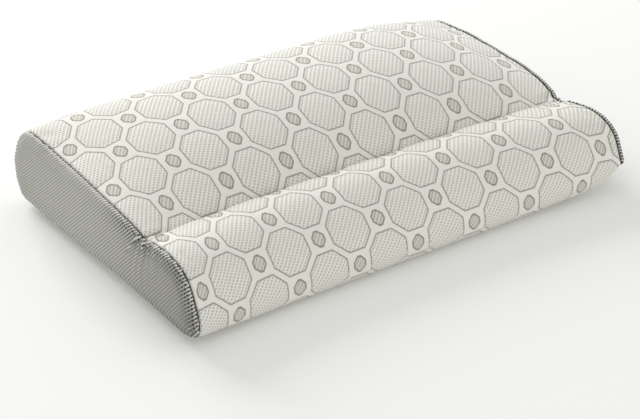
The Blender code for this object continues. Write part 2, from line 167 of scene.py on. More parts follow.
form = {
    "halfLength": 295.0,
    "crownStart": 0.2,
    "crownPower": 2.5,
    "liftFrom": 245.0,
    # pad: from the zip up over the top to the crease; roll: from there to the underside's front
    "padMid": [(197.5, 47), (194.5, 73), (180.5, 99), (155.5, 115), (121.5, 125), (83.5, 128),
               (41.5, 125), (-2.5, 115), (-32.5, 102.5), (-54.5, 89), (-65.5, 79.7), (-71, 73.5),
               (-73.5, 66.5)],
    "padEnd": [(197.5, 47), (191, 67), (177.5, 87), (159.5, 98), (122.5, 100), (82.5, 99),
               (42.5, 97.5), (2.5, 94.5), (-29.5, 91.5), (-56.5, 87), (-77.5, 81.5), (-86, 79),
               (-89.5, 77)],
    "rollMid": [(-73.5, 66.5), (-75.7, 75.5), (-82, 80.7), (-98.5, 84.5), (-118.5, 83.5),
                (-138.5, 77), (-159.5, 65.5), (-176.5, 50), (-188.5, 34), (-192.5, 19),
                (-186.5, 5.5), (-172, 0)],
    "rollEnd": [(-89.5, 77), (-93.5, 79.3), (-100, 81.5), (-114.5, 84.5), (-136.5, 86.5),
                (-159.5, 83.5), (-178, 73), (-190.5, 51), (-196.6, 34), (-196.6, 21),
                (-189.5, 10), (-172, 5.5)],
    "underMid": [(-172, 0), (-60, 0), (60, 0), (168, 0), (179, 2)],
    "underEnd": [(-172, 5.5), (-60, 9), (60, 7), (168, 6.5), (179, 8)],
    "zipCentre": (191.3, 19.0),
    "zipLean": 60.0,
    "stripHalf": 11.0,
    "slotHalf": 6.0,
    "slotReach": 245.0,
    # a used pillow isn't even: the left rear corner stands fuller, the right one has settled
    "leftCorner": (2.0, 4.5),
    "rightCorner": (-3.0, -7.0),
    "cornerFrom": 150.0,
    "cornerFull": 292.0,
    "cornerShares": (0.25, 0.8, 1.0, 0.9, 0.6, 0.3, 0.12, 0.04, 0, 0, 0, 0, 0),
    # and its right end lifts a little off the table, most at the front: shares under and up the roll
    "rightHeel": 4.5,
    "heelUnder": (1.0, 0.8, 0.8, 1.0, 0.9),
    "heelRoll": (0, 0, 0, 0, 0, 0, 0, 0.1, 0.3, 0.6, 0.9, 1.0),
    "rightToe": 18.0,
    "toeFrom": 245.0,
    "toeWide": 50.0,
    "toeUnder": (1.0, 0.2, 0, 0, 0),
    "toeRoll": (0, 0, 0, 0, 0, 0, 0, 0, 0.3, 0.7, 1.0, 1.0),
    # the end seam is drawn in everywhere, and most where the crease runs into it
    "seamDraw": {-1: (2.5, 3.5, 40.0), 1: (8.0, 7.0, 30.0)},
    "drawFrom": 215.0,
    "creaseStep": 1.2,
    "creaseRows": 6,
    # rows of the section, from the zip's upper edge over the top and round underneath
    "rows": {"hemUp": 2, "riser": 4, "pad": 92, "roll": 52, "under": 90, "heel": 4, "hemLow": 2,
             "slot": 4},
    "columns": (20, 112, 20),
    "seamTuck": 2.2,
    "seamTuckWidth": 5.0,
}
zipAlong = np.array([cos(radians(form["zipLean"])), sin(radians(form["zipLean"]))])
zipOut = np.array([sin(radians(form["zipLean"])), -cos(radians(form["zipLean"]))])


def throughPoints(points, count, tightStart=0, tightEnd=0):
    # a smooth curve through the points, cut into equal steps but for the tight rows at its ends
    points = np.array(points, float)
    ends = np.vstack([2 * points[0] - points[1], points, 2 * points[-1] - points[-2]])
    fine = []
    for at in range(len(points) - 1):
        a, b, c, d = ends[at:at + 4]
        for t in np.linspace(0, 1, 12, endpoint=False):
            fine.append(0.5 * (2 * b + (c - a) * t + (2 * a - 5 * b + 4 * c - d) * t * t
                               + (3 * b - a - 3 * c + d) * t ** 3))
    fine.append(points[-1])
    fine = np.array(fine)
    run = np.concatenate([[0], np.cumsum(np.hypot(*np.diff(fine, axis=0).T))])
    low, high = form["creaseStep"] * tightStart, run[-1] - form["creaseStep"] * tightEnd
    steps = np.concatenate([np.linspace(0, low, tightStart + 1)[:-1],
                            np.linspace(low, high, count - tightStart - tightEnd + 1),
                            np.linspace(high, run[-1], tightEnd + 1)[1:]])
    return np.column_stack([np.interp(steps, run, fine[:, 0]), np.interp(steps, run, fine[:, 1])])


def sectionAt(x):
    # the closed loop at x, without its last point, and each point's run from the crease
    far = abs(x) / form["halfLength"]
    crown = max(0.0, (far - form["crownStart"]) / (1 - form["crownStart"])) ** form["crownPower"]
    lift = float(softStep(abs(x), form["liftFrom"], form["halfLength"]))
    pad, roll, under = [
        np.array(form[name + "Mid"]) * (1 - crown) + np.array(form[name + "End"]) * crown
        for name in ("pad", "roll", "under")]
    under[:, 1] = [form["underMid"][n][1] * (1 - lift) + form["underEnd"][n][1] * lift
                   for n in range(len(under))]
    side = float(softStep(abs(x), form["cornerFrom"], form["cornerFull"]))
    corner = form["leftCorner"] if x < 0 else form["rightCorner"]
    pad += np.outer(form["cornerShares"], corner) * side
    if x > 0:
        heel = form["rightHeel"] * side
        toe = form["rightToe"] * max(0.0, (x - form["toeFrom"]) / form["toeWide"]) ** 2
        under[:, 1] += heel * np.array(form["heelUnder"]) + toe * np.array(form["toeUnder"])
        roll[:, 1] += heel * np.array(form["heelRoll"]) + toe * np.array(form["toeRoll"])
    centre = np.array(form["zipCentre"])
    strip = [centre + zipAlong * step for step in (-form["stripHalf"], -form["slotHalf"],
                                                   form["slotHalf"], form["stripHalf"])]
    rows = form["rows"]
    upper = throughPoints([strip[3], *pad], rows["riser"] + rows["pad"], 0, form["creaseRows"])
    lower = throughPoints([*under, strip[0]], rows["under"] + rows["heel"])
    spans = [np.linspace(strip[2], strip[3], rows["hemUp"] + 1), upper,
             throughPoints(roll, rows["roll"], form["creaseRows"]), lower,
             np.linspace(strip[0], strip[1], rows["hemLow"] + 1),
             np.linspace(strip[1], strip[2], rows["slot"] + 1)]
    loop = np.vstack([span[:-1] for span in spans])
    loop[:, 1] = np.maximum(loop[:, 1], 0)
    run = np.concatenate([[0], np.cumsum(np.hypot(*np.diff(loop, axis=0).T))])
    crease = rows["hemUp"] + rows["riser"] + rows["pad"]
    return loop, run[crease] - run


def inward(loop, depth):
    # moves a closed loop towards its inside
    before, after = np.roll(loop, 1, axis=0), np.roll(loop, -1, axis=0)
    along = after - before
    along /= np.maximum(np.hypot(*along.T), 1e-9)[:, None]
    return loop + np.column_stack([-along[:, 1], along[:, 0]]) * np.reshape(depth, (-1, 1))


left, middle, right = form["columns"]
half, reach = form["halfLength"], form["slotReach"]
columns = np.concatenate([np.linspace(-half, -reach, left + 1)[:-1],
                          np.linspace(-reach, reach, middle + 1)[:-1],
                          np.linspace(reach, half, right + 1)])
sections = [sectionAt(x) for x in columns]
loops = np.array([loop for loop, run in sections])
runs = np.array([run for loop, run in sections])
rowCount = loops.shape[1]
crease = form["rows"]["hemUp"] + form["rows"]["riser"] + form["rows"]["pad"]
slotStart = rowCount - form["rows"]["slot"]
print("section:", rowCount, "rows,", len(columns), "columns")


def surfaceFrom(loops, xs, runs):
    # each column of points, with the seams drawn in at the ends
    wide = np.repeat(np.array(xs, float)[:, None], loops.shape[1], axis=1)
    for side, (overall, atCrease, reach) in form["seamDraw"].items():
        draw = overall + atCrease * np.exp(-(runs / reach) ** 2)
        draw = draw * softStep(side * wide, form["drawFrom"], half)
        wide = wide - side * draw
    return np.dstack([wide, loops])


def gridNormals(points):
    around = np.roll(points, -1, axis=1) - np.roll(points, 1, axis=1)
    along = np.gradient(points, axis=0)
    normal = np.cross(around, along)
    return normal / np.maximum(np.linalg.norm(normal, axis=2), 1e-9)[:, :, None]


def shellMesh(name, points, uv=None, keep=None):
    # quads between columns, closed round the rows; keep says which quads stay
    nx, nr = points.shape[:2]
    mesh = bpy.data.meshes.new(name)
    faces = [(c * nr + r, c * nr + (r + 1) % nr, (c + 1) * nr + (r + 1) % nr, (c + 1) * nr + r)
             for c in range(nx - 1) for r in range(nr) if keep is None or keep(c, r)]
    mesh.from_pydata((points.reshape(-1, 3) * mm).tolist(), [], faces)
    if uv is not None:
        layer = mesh.uv_layers.new(name="cloth")
        flat = []
        for a, b, c, d in faces:
            first = a % nr
            for vertex, row in ((a, first), (b, first + 1), (c, first + 1), (d, first)):
                column = vertex // nr
                flat += list(uv(column, row))
        layer.data.foreach_set("uv", flat)
    mesh.shade_smooth()
    return mesh


def addPiece(name, mesh, material=None):
    piece = bpy.data.objects.new(name, mesh)
    if material:
        mesh.materials.append(material)
    bpy.context.collection.objects.link(piece)
    return piece


def giveWall(piece, thick):
    # the cloth's thickness, inwards
    wall = piece.modifiers.new("wall", "SOLIDIFY")
    wall.thickness = thick * mm
    wall.offset = -1


# The knit's pattern: octagons on a lattice, one row of them through the crease

knit = {
    "step": 39.6,
    "firstColumn": 6.15,
    # distance from the crease, and the pattern row there: the cloth is stretched through the crease
    "rowPlaces": ((-590, -15.2), (-66, -3.0), (37, -1.0), (420, 6.9)),
    "octagon": 0.615,
    "small": 0.185,
    "outline": 0.028,
    "columnsPerRepeat": 13.0,
    "holesPerRepeat": 17.0,
    "smallRibs": 14.0,
    "puff": 0.9,
}


def clothPlace(x, run):
    i = x / knit["step"] + knit["firstColumn"]
    j = np.interp(run, *np.array(knit["rowPlaces"]).T)
    return i, j


# jacquard knit of white polyester yarn: smooth bands, sunk net octagons, a soft bloom of loose fibres
knitCloth, tree, bsdf = newMaterial("jacquard_knit_polyester", {
    "Roughness": 0.82, "IOR": 1.5, "Sheen Weight": 0.25, "Sheen Roughness": 0.5})
uvNode = addNode(tree, "ShaderNodeUVMap", {"uv_map": "cloth"})
lattice = addNode(tree, "ShaderNodeSeparateXYZ", None, {"Vector": uvNode.outputs["UV"]})
made = {"i": lattice.outputs["X"], "j": lattice.outputs["Y"]}
small, big, line = knit["small"], knit["octagon"], knit["outline"]
steps = [
    # knitting runs along the lattice's diagonals
    ("sum", "ADD", "i", "j"), ("p", "MULTIPLY", "sum", 0.5),
    ("less", "SUBTRACT", "i", "j"), ("q", "MULTIPLY", "less", 0.5),
    ("pNear", "ROUND", "p", 0), ("qNear", "ROUND", "q", 0),
    ("dp", "SUBTRACT", "p", "pNear"), ("dq", "SUBTRACT", "q", "qNear"),
    ("di", "ADD", "dp", "dq"), ("dj", "SUBTRACT", "dp", "dq"),
    ("ai", "ABSOLUTE", "di", 0), ("aj", "ABSOLUTE", "dj", 0),
    ("corner", "ADD", "ai", "aj"), ("slant", "MULTIPLY", "corner", 0.7071),
    ("widest", "MAXIMUM", "ai", "aj"), ("dBig", "MAXIMUM", "widest", "slant"),
    ("pFrac", "FRACT", "p", 0), ("qFrac", "FRACT", "q", 0),
    ("ep", "SUBTRACT", "pFrac", 0.5), ("eq", "SUBTRACT", "qFrac", 0.5),
    ("ei", "ADD", "ep", "eq"), ("ej", "SUBTRACT", "ep", "eq"),
    ("bi", "ABSOLUTE", "ei", 0), ("bj", "ABSOLUTE", "ej", 0),
    ("bjLow", "MULTIPLY", "bj", 0.88), ("corner2", "ADD", "bi", "bj"),
    ("slant2", "MULTIPLY", "corner2", 0.72), ("widest2", "MAXIMUM", "bi", "bjLow"),
    ("dSmall", "MAXIMUM", "widest2", "slant2"),
    # the net inside an octagon: columns of holes, every other column half a hole along
    ("c", "MULTIPLY", "q", knit["columnsPerRepeat"]), ("cNear", "ROUND", "c", 0),
    ("dc", "SUBTRACT", "c", "cNear"), ("cHalf", "MULTIPLY", "cNear", 0.5),
    ("h", "MULTIPLY", "p", knit["holesPerRepeat"]), ("hShift", "ADD", "h", "cHalf"),
    ("hNear", "ROUND", "hShift", 0), ("dh", "SUBTRACT", "hShift", "hNear"),
    ("dc2", "MULTIPLY", "dc", "dc"), ("dh2", "MULTIPLY", "dh", "dh"),
    ("spot2", "ADD", "dc2", "dh2"), ("spot", "SQRT", "spot2", 0),
    ("dcAbs", "ABSOLUTE", "dc", 0),
    ("rib", "MULTIPLY", "q", knit["smallRibs"]), ("ribNear", "ROUND", "rib", 0),
    ("ribOff", "SUBTRACT", "rib", "ribNear"), ("ribAbs", "ABSOLUTE", "ribOff", 0),
    ("bigEdge", "SUBTRACT", "dBig", big), ("bigLine", "ABSOLUTE", "bigEdge", 0),
    ("smallEdge", "SUBTRACT", "dSmall", small), ("smallLine", "ABSOLUTE", "smallEdge", 0),
]
# soft masks: value, where it starts, where it is full
masks = [("inBig", "dBig", big + 0.004, big - 0.012),
         ("inSmall", "dSmall", small + 0.004, small - 0.012),
         ("bigOutline", "bigLine", line, line * 0.35),
         ("smallOutline", "smallLine", line * 1.15, line * 0.4),
         ("hole", "spot", 0.40, 0.22), ("column", "dcAbs", 0.42, 0.1),
         ("smallRib", "ribAbs", 0.4, 0.15)]
products = [("netHole", "hole", "inBig"), ("netColumn", "column", "inBig"),
            ("ribbing", "smallRib", "inSmall")]
addPattern(tree, made, steps, masks, products)
cloud, cloudNoise, colour = mottled(tree, 14.0, "#e2e1d8", "#e9e8df", 3.0)
layers = [("inBig", 1.0, "#e8e7de"), ("netColumn", 0.3, "#d5d4ca"), ("netHole", 0.55, "#a4a397"),
          ("inSmall", 1.0, "#d9d6ca"), ("ribbing", 0.7, "#aca89b"), ("bigOutline", 0.85, "#97958a"),
          ("smallOutline", 0.9, "#88847a")]
tree.links.new(tinted(tree, made, colour, layers), bsdf.inputs["Base Color"])
# stitches of the ground knit, 1.2 mm, finer than they show: only a slight grain
stitchNoise = addNode(tree, "ShaderNodeTexNoise", None, {"Vector": cloud, "Scale": 900.0,
                                                         "Detail": 1.0})
height = addNode(tree, "ShaderNodeMath", {"operation": "MULTIPLY"},
                 {0: stitchNoise.outputs["Fac"], 1: 0.12})
for mask, depth in (("netHole", -0.45), ("netColumn", -0.15), ("ribbing", -0.3), ("bigOutline", -0.7),
                    ("smallOutline", -0.6)):
    part = addNode(tree, "ShaderNodeMath", {"operation": "MULTIPLY"}, {0: made[mask], 1: depth})
    height = addNode(tree, "ShaderNodeMath", {"operation": "ADD"},
                     {0: height.outputs[0], 1: part.outputs[0]})
bump = addNode(tree, "ShaderNodeBump", None, {"Height": height.outputs[0], "Distance": 0.0008,
                                              "Strength": 0.9})
tree.links.new(bump.outputs["Normal"], bsdf.inputs["Normal"])


# The knitted wrap

wrap = {
    "thick": 2.4,
    "swellCap": 2.5,
    "pressure": 4.0,
    "frames": 20,
    "simDepth": 1.2,         # the simulated cloth starts this far inside, because it swells
    "restsBelow": 7.0,       # lower than this, and between these depths, it lies on the table
    "restsBetween": (-165, 175),
    "hemRows": 4,            # rows either side of the zip that are sewn down
    # gathers where the crease meets the end seams: start and end (x, run), depth, width
    "folds": [((-296, 5), (-262, 3), 3.2, 2.6), ((-296, -5), (-264, -15), 3.0, 2.4),
              ((-295, -19), (-274, -33), 1.0, 4.0),
              ((293, -8), (268, -19), 2.0, 3.0), ((293, 12), (266, 9), 1.6, 4.0)],
}


def seamTuck(x):
    # the cloth turns in over its last few millimetres, into the seam
    width = form["seamTuckWidth"]
    t = np.clip((abs(x) - (form["halfLength"] - width)) / width, 0, 1)
    return form["seamTuck"] * (1 - np.sqrt(np.maximum(0, 1 - t * t)))


def swollen(points):
    # cloth simulation on every second point, held at the seams, crease, zip and underside
    coarse = points[::2, ::2]
    nx, nr = coarse.shape[:2]
    piece = addPiece("swellForm", shellMesh("swellForm", coarse))
    group = piece.vertex_groups.new(name="held")
    held, hem = [], wrap["hemRows"]
    restsFrom, restsTo = wrap["restsBetween"]
    for c in range(nx):
        for r in range(nr):
            row = 2 * r
            sewn = (c in (0, nx - 1) or abs(row - crease) <= form["creaseRows"]
                    or row >= slotStart - hem or row <= hem)
            flat = coarse[c, r, 2] < wrap["restsBelow"] and restsFrom < coarse[c, r, 1] < restsTo
            if sewn or flat:
                held.append(c * nr + r)
    group.add(held, 1.0, "REPLACE")
    cloth = piece.modifiers.new("cloth", "CLOTH")
    cloth.settings.quality = 6
    cloth.settings.mass = 0.25
    cloth.settings.tension_stiffness = 12
    cloth.settings.compression_stiffness = 12
    cloth.settings.bending_stiffness = 0.6
    cloth.settings.use_pressure = True
    cloth.settings.uniform_pressure_force = wrap["pressure"]
    cloth.settings.vertex_group_mass = "held"
    cloth.settings.effector_weights.gravity = 0
    cloth.collision_settings.use_collision = False
    scene = bpy.context.scene
    for step in range(1, wrap["frames"] + 1):
        scene.frame_set(step)
    shape = piece.evaluated_get(bpy.context.evaluated_depsgraph_get()).to_mesh()
    after = np.empty(len(shape.vertices) * 3)
    shape.vertices.foreach_get("co", after)
    bpy.data.objects.remove(piece)
    scene.frame_set(1)
    move = after.reshape(nx, nr, 3) / mm - coarse
    size = np.linalg.norm(move, axis=2, keepdims=True)
    print("cloth moved up to", round(float(size.max()), 1), "mm")
    return move * (np.tanh(size / wrap["swellCap"]) * wrap["swellCap"] / np.maximum(size, 1e-6))


def spread(move, shape):
    # brings the coarse points' moves to the fine grid
    nx, nr = shape[:2]
    fine = np.zeros((nx, move.shape[1], 3))
    for axis in range(3):
        for r in range(move.shape[1]):
            fine[:, r, axis] = np.interp(np.arange(nx), np.arange(0, nx, 2), move[:, r, axis])
    wide = np.zeros((nx, nr, 3))
    rows = np.arange(0, nr + 1, 2)
    closed = np.concatenate([fine, fine[:, :1]], axis=1)
    for axis in range(3):
        for c in range(nx):
            wide[c, :, axis] = np.interp(np.arange(nr), rows, closed[c, :, axis])
    return wide


def foldDepth(x, run):
    # signed height of the gathers at a place on the cloth
    height = np.zeros_like(run)
    for start, end, depth, width in wrap["folds"]:
        a, b = np.array(start, float), np.array(end, float)
        way = b - a
        t = ((x - a[0]) * way[0] + (run - a[1]) * way[1]) / (way @ way)
        tc = np.clip(t, 0, 1)
        off = np.hypot(x - a[0] - tc * way[0], run - a[1] - tc * way[1])
        taper = 1 - softStep(t, 0.35, 1.05)
        height += taper * (-depth * np.exp(-(off / width) ** 2)
                           + 0.55 * depth * np.exp(-((off - 1.9 * width) / width) ** 2))
    return height


outer = np.array([inward(loop, seamTuck(x)) for loop, x in zip(loops, columns)])
wrapPoints = surfaceFrom(outer, columns, runs)
within = np.array([inward(loop, wrap["simDepth"]) for loop in outer])
move = swollen(surfaceFrom(within, columns, runs))
wide = spread(move, wrapPoints.shape)
freeRows = np.ones(rowCount)
freeRows[:6] = freeRows[slotStart - 4:] = 0
wrapPoints += wide * freeRows[None, :, None] - gridNormals(wrapPoints) * (
    0.4 * np.linalg.norm(wide, axis=2) * freeRows[None, :])[:, :, None]
normals = gridNormals(wrapPoints)
gridX = np.repeat(columns[:, None], rowCount, axis=1)
cellI, cellJ = clothPlace(gridX, runs)
p, q = (cellI + cellJ) / 2, (cellI - cellJ) / 2
di, dj = p - np.round(p) + q - np.round(q), p - np.round(p) - q + np.round(q)
toEdge = knit["octagon"] - np.maximum(np.maximum(abs(di), abs(dj)), (abs(di) + abs(dj)) * 0.7071)
puff = knit["puff"] * (softStep(toEdge, 0.0, 0.3) - 0.3 * np.exp(-(toEdge / 0.05) ** 2))
onTop = softStep(wrapPoints[:, :, 2], 8, 20)
onTop[:, slotStart - 6:] = onTop[:, :8] = 0
lift = puff * onTop + foldDepth(gridX, runs)
wrapPoints += normals * lift[:, :, None]
wrapPoints[:, :, 2] = np.maximum(wrapPoints[:, :, 2], 0)


def inSlot(c, r):
    return r >= slotStart and left <= c < left + middle


def wrapUv(c, r):
    run = runs[c, r] if r < rowCount else runs[c, rowCount - 1] - 3
    i, j = clothPlace(columns[c], run)
    return float(i), float(j)


coverMesh = shellMesh("cover_knit", wrapPoints, wrapUv, lambda c, r: not inSlot(c, r))
coverKnit = addPiece("cover_knit", coverMesh, knitCloth)
giveWall(coverKnit, wrap["thick"])
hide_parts("cover_wrap")
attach(coverKnit, "pillow")


# The mesh end panels

panel = {
    "bulge": 9.5,
    "bulgeReach": 26.0,
    "lip": 1.4,          # how far the rim's roll hangs over the seam
    "lipReach": 9.0,
    "fill": 36.0,        # over this width it levels out from the seam's own line
    "faceBack": 2.0,     # its flat part lies this far inside the wrap's length
    "rimGap": 0.4,
    "tipGap": 0.3,
    "rimPoints": 900,
    "across": 380,
    "down": 84,
    "backing": 1.6,
    "cut": 0.95,         # cut smaller than it ends up, so that it is drawn tight
    # ribs stand closer at the rear, and lean over more towards the front
    "ribStep": (3.75, 4.9),
    "ribSlope": (0.73, 1.05),
    "ribHeight": 0.55,
    "spine": ((-148, 44), (150, 50)),
    "holeStep": 3.4,
    "holeReach": 17.0,
    # runs from the crease where the holes close, down the roll and then up the pad
    "closedFront": (-420, -150),
    "closedPad": (90, 30),
    # where the painted shade in the furrows deepens, from the rear towards the front
    "frontShareSpan": (-70, 170),
}

# warp-knitted spacer mesh, grey polyester: matt round ribs with painted shade in the furrows between them,
# darker towards the front, open near the seam
spacerMesh, tree, bsdf = newMaterial("spacer_mesh_polyester", {
    "Roughness": 0.78, "IOR": 1.5, "Sheen Weight": 0.15})
uvNode = addNode(tree, "ShaderNodeUVMap", {"uv_map": "cloth"})
ribPlace = addNode(tree, "ShaderNodeSeparateXYZ", None, {"Vector": uvNode.outputs["UV"]})
made = {"u": ribPlace.outputs["X"], "v": ribPlace.outputs["Y"]}
for name in ("holeShare", "frontShare"):
    made[name] = addNode(tree, "ShaderNodeAttribute", {"attribute_name": name}).outputs["Fac"]
steps = [("uNear", "ROUND", "u", 0), ("uOff", "SUBTRACT", "u", "uNear"),
         ("furrow", "ABSOLUTE", "uOff", 0), ("uHalf", "MULTIPLY", "uNear", 0.5),
         ("vShift", "ADD", "v", "uHalf"), ("vNear", "ROUND", "vShift", 0),
         ("vOff", "SUBTRACT", "vShift", "vNear"), ("dash", "ABSOLUTE", "vOff", 0)]
masks = [("inFurrow", "furrow", 0.38, 0.08), ("inDash", "dash", 0.40, 0.22),
         ("deep", "furrow", 0.30, 0.14)]
products = [("dashes", "deep", "inDash"), ("holes", "dashes", "holeShare"),
            ("frontFurrowShade", "inFurrow", "frontShare")]
addPattern(tree, made, steps, masks, products)
cloud, cloudNoise, colour = mottled(tree, 60.0, "#d4d3ca", "#dedcd3")
# the two furrow tints are painted shade between the ribs, the second deepening it towards the front; the
# holes are the mesh's openings
layers = [("inFurrow", 0.8, "#868680"), ("frontFurrowShade", 0.45, "#6a6a64"), ("holes", 0.9, "#3a3a36")]
tree.links.new(tinted(tree, made, colour, layers), bsdf.inputs["Base Color"])
yarn = addNode(tree, "ShaderNodeTexNoise", None, {"Vector": cloud, "Scale": 700.0})
height = addNode(tree, "ShaderNodeMath", {"operation": "MULTIPLY_ADD"},
                 {0: made["inFurrow"], 1: -0.6, 2: yarn.outputs["Fac"]})
bump = addNode(tree, "ShaderNodeBump", None, {"Height": height.outputs[0], "Distance": 0.0005,
                                              "Strength": 0.8})
tree.links.new(bump.outputs["Normal"], bsdf.inputs["Normal"])


def newGrowth(name, inputs):
    # a geometry tree with named inputs, and its input node
    tree = bpy.data.node_groups.new(name, "GeometryNodeTree")
    tree.interface.new_socket("Geometry", in_out="INPUT", socket_type="NodeSocketGeometry")
    for label, kind, value in inputs:
        socket = tree.interface.new_socket(label, in_out="INPUT", socket_type="NodeSocket" + kind)
        if value is not None:
            socket.default_value = value
    tree.interface.new_socket("Geometry", in_out="OUTPUT", socket_type="NodeSocketGeometry")
    return tree, addNode(tree, "NodeGroupInput").outputs


def endGrowth(tree, geometry, material):
    real = addNode(tree, "GeometryNodeRealizeInstances", None, {"Geometry": geometry})
    coated = addNode(tree, "GeometryNodeSetMaterial", None, {"Geometry": real.outputs[0],
                                                             "Material": material})
    addNode(tree, "NodeGroupOutput", None, {"Geometry": coated.outputs[0]})


def grown(name, base, tree, values):
    # grows the tree on the base mesh, and keeps what comes out as a plain mesh
    piece = addPiece(name, base)
    modifier = piece.modifiers.new("grow", "NODES")
    modifier.node_group = tree
    for item in tree.interface.items_tree:
        if item.in_out == "INPUT" and item.name in values:
            modifier[item.identifier] = values[item.name]
    evaluated = piece.evaluated_get(bpy.context.evaluated_depsgraph_get())
    mesh = bpy.data.meshes.new_from_object(evaluated)
    piece.modifiers.remove(modifier)
    piece.data = mesh
    mesh.name = name
    return piece


# the ribs: each point of a panel is raised by its place across the ribs, and less near the seam
ribTree, given = newGrowth("ribs", [("Height", "Float", 0.0005), ("Yarn", "Material", None)])
acrossRibs = addNode(ribTree, "GeometryNodeInputNamedAttribute", {"data_type": "FLOAT"},
                     {"Name": "acrossRibs"})
ribShare = addNode(ribTree, "GeometryNodeInputNamedAttribute", {"data_type": "FLOAT"},
                   {"Name": "ribShare"})
turnPart = addNode(ribTree, "ShaderNodeMath", {"operation": "MULTIPLY"},
                   {0: acrossRibs.outputs["Attribute"], 1: 2 * np.pi})
wave = addNode(ribTree, "ShaderNodeMath", {"operation": "COSINE"}, {0: turnPart.outputs[0]})
tall = addNode(ribTree, "ShaderNodeMath", {"operation": "MULTIPLY"},
               {0: wave.outputs[0], 1: given["Height"]})
faded = addNode(ribTree, "ShaderNodeMath", {"operation": "MULTIPLY"},
                {0: tall.outputs[0], 1: ribShare.outputs["Attribute"]})
outwards = addNode(ribTree, "GeometryNodeInputNormal")
push = addNode(ribTree, "ShaderNodeVectorMath", {"operation": "SCALE"},
               {"Vector": outwards.outputs[0], "Scale": faded.outputs[0]})
raised = addNode(ribTree, "GeometryNodeSetPosition", None, {"Geometry": given["Geometry"],
                                                            "Offset": push.outputs[0]})
endGrowth(ribTree, raised.outputs[0], given["Yarn"])

depthSteps = np.arange(0, 400.0, 2.0)
ribStepAt = np.interp(depthSteps, (0, 370), panel["ribStep"])
ribClimb = np.cumsum(np.interp(depthSteps, (0, 394), panel["ribSlope"]) / ribStepAt * 2.0)


def ribPhase(y, z):
    # counts the ribs: they climb towards the front, opening out a little as they go
    run = 197.5 - y
    return (z - 47) / np.interp(run, depthSteps, ribStepAt) - np.interp(run, depthSteps, ribClimb)


def panelShell(name, side):
    seam = wrapPoints[0 if side < 0 else -1]
    closed = np.vstack([seam, seam[:1]])
    seamRun = runs[0 if side < 0 else -1]
    closedRun = np.append(seamRun, seamRun[-1] - 3)
    length = np.concatenate([[0], np.cumsum(np.linalg.norm(np.diff(closed, axis=0), axis=1))])
    at = np.linspace(0, length[-1], panel["rimPoints"], endpoint=False)
    rimX, rimY, rimZ = [np.interp(at, length, closed[:, n]) for n in range(3)]
    rimX = abs(rimX) + panel["rimGap"]
    rimRun = np.interp(at, length, closedRun)
    # columns of points from the rim's top to its bottom, closer together at both ends
    rear, front = int(np.argmax(rimY)), int(np.argmin(rimY))
    share = np.linspace(0, 1, panel["across"])
    share = 0.55 * share + 0.225 * (1 - np.cos(np.pi * share))
    tip = panel["tipGap"]
    y = (rimY[rear] - tip) * (1 - share) + (rimY[front] + tip) * share
    top = np.interp(-y, -rimY[rear:front + 1], rimZ[rear:front + 1])
    lowY, lowZ = [np.concatenate([rim[front:], rim[:rear + 1]]) for rim in (rimY, rimZ)]
    bottom = np.interp(y, lowY, lowZ)
    down = np.linspace(0, 1, panel["down"])
    down = 0.7 * down + 0.15 * (1 - np.cos(np.pi * down))
    z = top[:, None] * (1 - down) + bottom[:, None] * down
    y = np.repeat(y[:, None], panel["down"], axis=1)
    # nearest place on the rim, and how far away it is
    near = np.array([np.argmin((rimY - a) ** 2 + (rimZ - b) ** 2)
                     for a, b in zip(y.ravel(), z.ravel())]).reshape(y.shape)
    offY, offZ = rimY[near] - y, rimZ[near] - z
    d = np.hypot(offY, offZ)
    rise = panel["bulge"] * np.sqrt(1 - (1 - np.minimum(d / panel["bulgeReach"], 1)) ** 2)
    flat = softStep(d, 0, panel["fill"])
    lip = panel["lip"] * np.sin(np.pi * np.minimum(d / panel["lipReach"], 1)) / np.maximum(d, 0.5)
    x = rimX[near] * (1 - flat) + (form["halfLength"] - panel["faceBack"]) * flat + rise
    face = np.dstack([side * x, y + offY * lip, np.maximum(z + offZ * lip, 0.4)])
    nx, nr = y.shape
    faces = [(c * nr + r, c * nr + r + 1, (c + 1) * nr + r + 1, (c + 1) * nr + r)
             for c in range(nx - 1) for r in range(nr - 1)]
    if side < 0:
        faces = [facePoints[::-1] for facePoints in faces]
    mesh = bpy.data.meshes.new(name)
    mesh.from_pydata((face.reshape(-1, 3) * mm).tolist(), [], faces)
    phase, along = ribPhase(y, z), (z * 0.63 - y * 0.78) / panel["holeStep"]
    nearCrease = softStep(rimRun[near], *panel["closedPad"]) * softStep(rimRun[near], *panel["closedFront"])
    values = {"acrossRibs": phase - 0.5, "ribShare": softStep(d, 0.3, 4),
              "holeShare": softStep(d, panel["holeReach"], 3) * nearCrease,
              "frontShare": softStep(-y, *panel["frontShareSpan"])}
    for label, numbers in values.items():
        layer = mesh.attributes.new(label, "FLOAT", "POINT")
        layer.data.foreach_set("value", numbers.ravel().tolist())
    uvLayer = mesh.uv_layers.new(name="cloth")
    corners = np.array(faces).ravel()
    places = np.column_stack([phase.ravel()[corners], along.ravel()[corners]])
    uvLayer.data.foreach_set("uv", places.ravel())
    mesh.shade_smooth()
    return mesh, sum(polygon.area for polygon in mesh.polygons)


for name, side in (("left", -1), ("right", 1)):
    base, area = panelShell("end_mesh_" + name, side)
    endMesh = grown("end_mesh_" + name, base, ribTree, {"Height": panel["ribHeight"] * mm,
                                                        "Yarn": spacerMesh})
    giveWall(endMesh, panel["backing"])
    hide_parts("end_panel_" + name)
    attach(endMesh, "pillow")
    print("end panel", name, "area", round(area, 4), "m2")


# Inside: the foam, its sleeve, the tape in the crease and the turned-in seams

